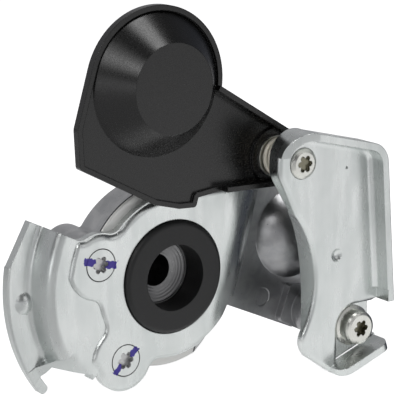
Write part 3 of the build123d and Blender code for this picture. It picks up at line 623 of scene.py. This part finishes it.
dress(plated("guide_zinc", ZINC, PLATE_WAVES, painted=True), "guide_plate")
dress(plated("bracket_zinc", ZINC, BRACKET_WAVES), "side_bracket", "hinge_bush")
dress(plate_screw("upper_screw_zinc", UPPER_SCREW), "plate_screw_upper")
dress(plate_screw("lower_screw_zinc", LOWER_SCREW), "plate_screw_lower")
dress(deep_screw("hinge_screw_zinc", HINGE_SCREW), "hinge_screw")
dress(deep_screw("bracket_screw_zinc", BRACKET_SCREW), "bracket_screw")
dress(plated("washer_zinc", YELLOWED_ZINC, SCREW_WAVES), "thrust_washer", "spring_seat")
dress(cast_aluminium(), "housing")
dress(turned("sleeve_aluminium", SLEEVE_METAL, SLEEVE_RING_PITCH, SLEEVE_GRAIN), "valve_sleeve")
dress(plain("valve_metal", VALVE_METAL, METAL), "valve_seat", "valve_disc")
dress(plain("black_plastic", BLACK_PLASTIC, NOT_METAL, PLASTIC_UNEVEN, PLASTIC_GRAIN), "cover")
seal_rubber = plain("seal_rubber", SEAL_RUBBER, NOT_METAL)
dress(seal_rubber, "seal_ring", "seat_o_ring", "stem_o_ring", "disc_washer")
spring_wire = plain("spring_wire", SPRING_WIRE, WIRE_METALLIC)
thread_aluminium = plain("thread_aluminium", THREAD_METAL, METAL, edge=THREAD_EDGE_ROUND)


# Thread of the port

def port_thread():
    """The ridges of the thread, wound as one closed strip down the wall of the port's bore."""
    bpy.ops.object.select_all(action="DESELECT")
    # A triangle of radius one is 1.5 high and the root of 3 wide
    bpy.ops.mesh.primitive_circle_add(
        vertices=3, radius=1.0, location=(PORT_AXIS[0], PORT_MOUTH - THREAD_START, PORT_AXIS[1]),
        rotation=(0, 0, math.radians(90)),
    )
    thread = bpy.context.active_object
    thread.name = "port_thread"
    bpy.ops.object.transform_apply(location=False, rotation=True, scale=False)
    bpy.ops.object.mode_set(mode="EDIT")
    bpy.ops.mesh.select_all(action="SELECT")
    bpy.ops.transform.resize(
        value=(THREAD_DEPTH / 1.5, THREAD_WIDTH / math.sqrt(3), 1.0), center_override=thread.location,
    )
    bpy.ops.transform.translate(value=(PORT_BORE + THREAD_FOOT - THREAD_DEPTH / 3, 0, 0))
    bpy.ops.object.mode_set(mode="OBJECT")
    wind = thread.modifiers.new("wind", "SCREW")
    wind.axis = "Y"
    wind.angle = 2 * math.pi
    wind.screw_offset = -THREAD_PITCH
    wind.iterations = THREAD_TURNS
    wind.steps = THREAD_STEPS
    wind.render_steps = THREAD_STEPS
    bpy.ops.object.modifier_apply(modifier=wind.name)
    bpy.ops.object.mode_set(mode="EDIT")
    bpy.ops.mesh.select_all(action="SELECT")
    bpy.ops.mesh.remove_doubles(threshold=SAME_POINT)
    bpy.ops.mesh.select_all(action="DESELECT")
    bpy.ops.mesh.select_mode(type="EDGE")
    bpy.ops.mesh.select_non_manifold()
    bpy.ops.mesh.fill_holes(sides=3)
    bpy.ops.mesh.select_all(action="SELECT")
    bpy.ops.mesh.normals_make_consistent(inside=False)
    bpy.ops.object.mode_set(mode="OBJECT")
    bpy.ops.object.transform_apply(location=True, rotation=False, scale=False)
    bpy.ops.object.shade_smooth_by_angle(angle=SMOOTH_BELOW)
    thread.data.materials.clear()
    thread.data.materials.append(thread_aluminium)
    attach(thread, "head")


port_thread()


# Springs

def springy(name):
    """A copy of a spring with its points merged, smooth shading and the wire's material, shown in
    place of the spring.
    """
    bpy.ops.object.select_all(action="DESELECT")
    nodes[name].select_set(True)
    bpy.context.view_layer.objects.active = nodes[name]
    bpy.ops.object.duplicate(linked=False)
    spring = bpy.context.active_object
    spring.name = name + "_wire"
    del spring["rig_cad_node"]
    bpy.ops.object.mode_set(mode="EDIT")
    bpy.ops.mesh.select_all(action="SELECT")
    bpy.ops.mesh.remove_doubles(threshold=SPRING_SAME_POINT)
    bpy.ops.object.mode_set(mode="OBJECT")
    bpy.ops.object.shade_smooth_by_angle(angle=SMOOTH_BELOW)
    spring.data.materials.clear()
    spring.data.materials.append(spring_wire)
    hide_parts(name)
    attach(spring, "head")
    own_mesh(spring)


for spring_name, spring_joint, still_end, moving_end, travel in SPRINGS:
    springy(spring_name)


# Floor, world and lamps

def height_ramp(tree, height, stops):
    """Brightness against the height of the direction, as a colour ramp."""
    ramp = put(tree, "ShaderNodeValToRGB", {"Fac": height})
    elements = ramp.color_ramp.elements
    while len(elements) < len(stops):
        elements.new(1.0)
    for element, (at, value) in zip(elements, stops):
        element.position = at
        element.color = (value, value, WALL_BLUE * value, 1)
    return ramp.outputs["Color"]


def sky():
    """White to the camera; to the object, pale behind, dark above in front and dim on the right."""
    world = bpy.data.worlds.new("studio")
    bpy.context.scene.world = world
    world.use_nodes = True
    tree = world.node_tree
    way = split(tree, put(tree, "ShaderNodeTexCoord").outputs["Generated"])
    front = height_ramp(tree, way["Z"], FRONT_WALL)
    back = height_ramp(tree, way["Z"], BACK_WALL)
    room = blend(tree, slide(tree, way["Y"], *FRONT_TO_BACK, 0.0, 1.0), front, back)
    room = blend(tree, slide(tree, way["X"], *ROOM_TO_SIDE, 0.0, 1.0), room, SIDE_TONE)
    seen = put(tree, "ShaderNodeLightPath").outputs["Is Camera Ray"]
    feed(tree, tree.nodes["Background"].inputs["Color"], blend(tree, seen, room, WHITE))
    arrange(tree)


def floor_sheet():
    """Pale sheet that stays white to the camera; in reflections it glows as painted light that falls
    off to the left, with a painted dark reflection on the right.
    """
    low = min(corner[2] for corner in cad_box)
    bpy.ops.mesh.primitive_plane_add(size=FLOOR_SIZE, location=(0, 0, low - FLOOR_GAP))
    floor = bpy.context.active_object
    floor.name = "floor"
    material, tree, place = new_material("pale_floor")
    ray = put(tree, "ShaderNodeLightPath").outputs
    ground = split(tree, place)
    slanted = maths(tree, "MULTIPLY_ADD", ground["Y"], FALL_OFF_SLANT, ground["X"])
    lit = slide(tree, slanted, *FALL_OFF, 0.0, FLOOR_PAINTED_REFLECTION_GLOW)
    way = vector_maths(tree, "NORMALIZE", vector_maths(tree, "SUBTRACT", place, FLOOR_MIDDLE))
    open_side = slide(tree, split(tree, way)["X"], *DARK_RIGHT, 1.0, 0.0)
    # painted reflection: the floor glows to metal, falling off to the left, and turns dark on the
    # right
    painted_reflection = maths(tree, "MULTIPLY", ray["Is Glossy Ray"], maths(tree, "MULTIPLY", lit, open_side))
    dark = maths(tree, "MULTIPLY", ray["Is Glossy Ray"], maths(tree, "SUBTRACT", 1.0, open_side))
    seen = maths(tree, "MULTIPLY", ray["Is Camera Ray"], FLOOR_GLOW)
    shade(tree, {
        "Base Color": blend(tree, dark, FLOOR_TONE, FLOOR_PAINTED_DARK_REFLECTION),
        "Roughness": FLOOR_ROUGH,
        "Specular IOR Level": FLOOR_SPECULAR,
        "Emission Color": WHITE,
        "Emission Strength": maths(tree, "ADD", seen, painted_reflection),
    })
    floor.data.materials.append(material)


def softbox(name, place, width, height, watts):
    turn = (Vector(place) - Vector(LAMP_TARGET)).to_track_quat("Z", "Y").to_euler()
    bpy.ops.object.light_add(type="AREA", location=place, rotation=turn)
    lamp = bpy.context.active_object
    lamp.name = name
    lamp.data.shape = "RECTANGLE"
    lamp.data.size = width
    lamp.data.size_y = height
    lamp.data.energy = watts
    lamp.visible_camera = False


floor_sheet()
sky()
for lamp_values in LAMPS:
    softbox(*lamp_values)
bpy.context.scene.view_settings.view_transform = "Standard"
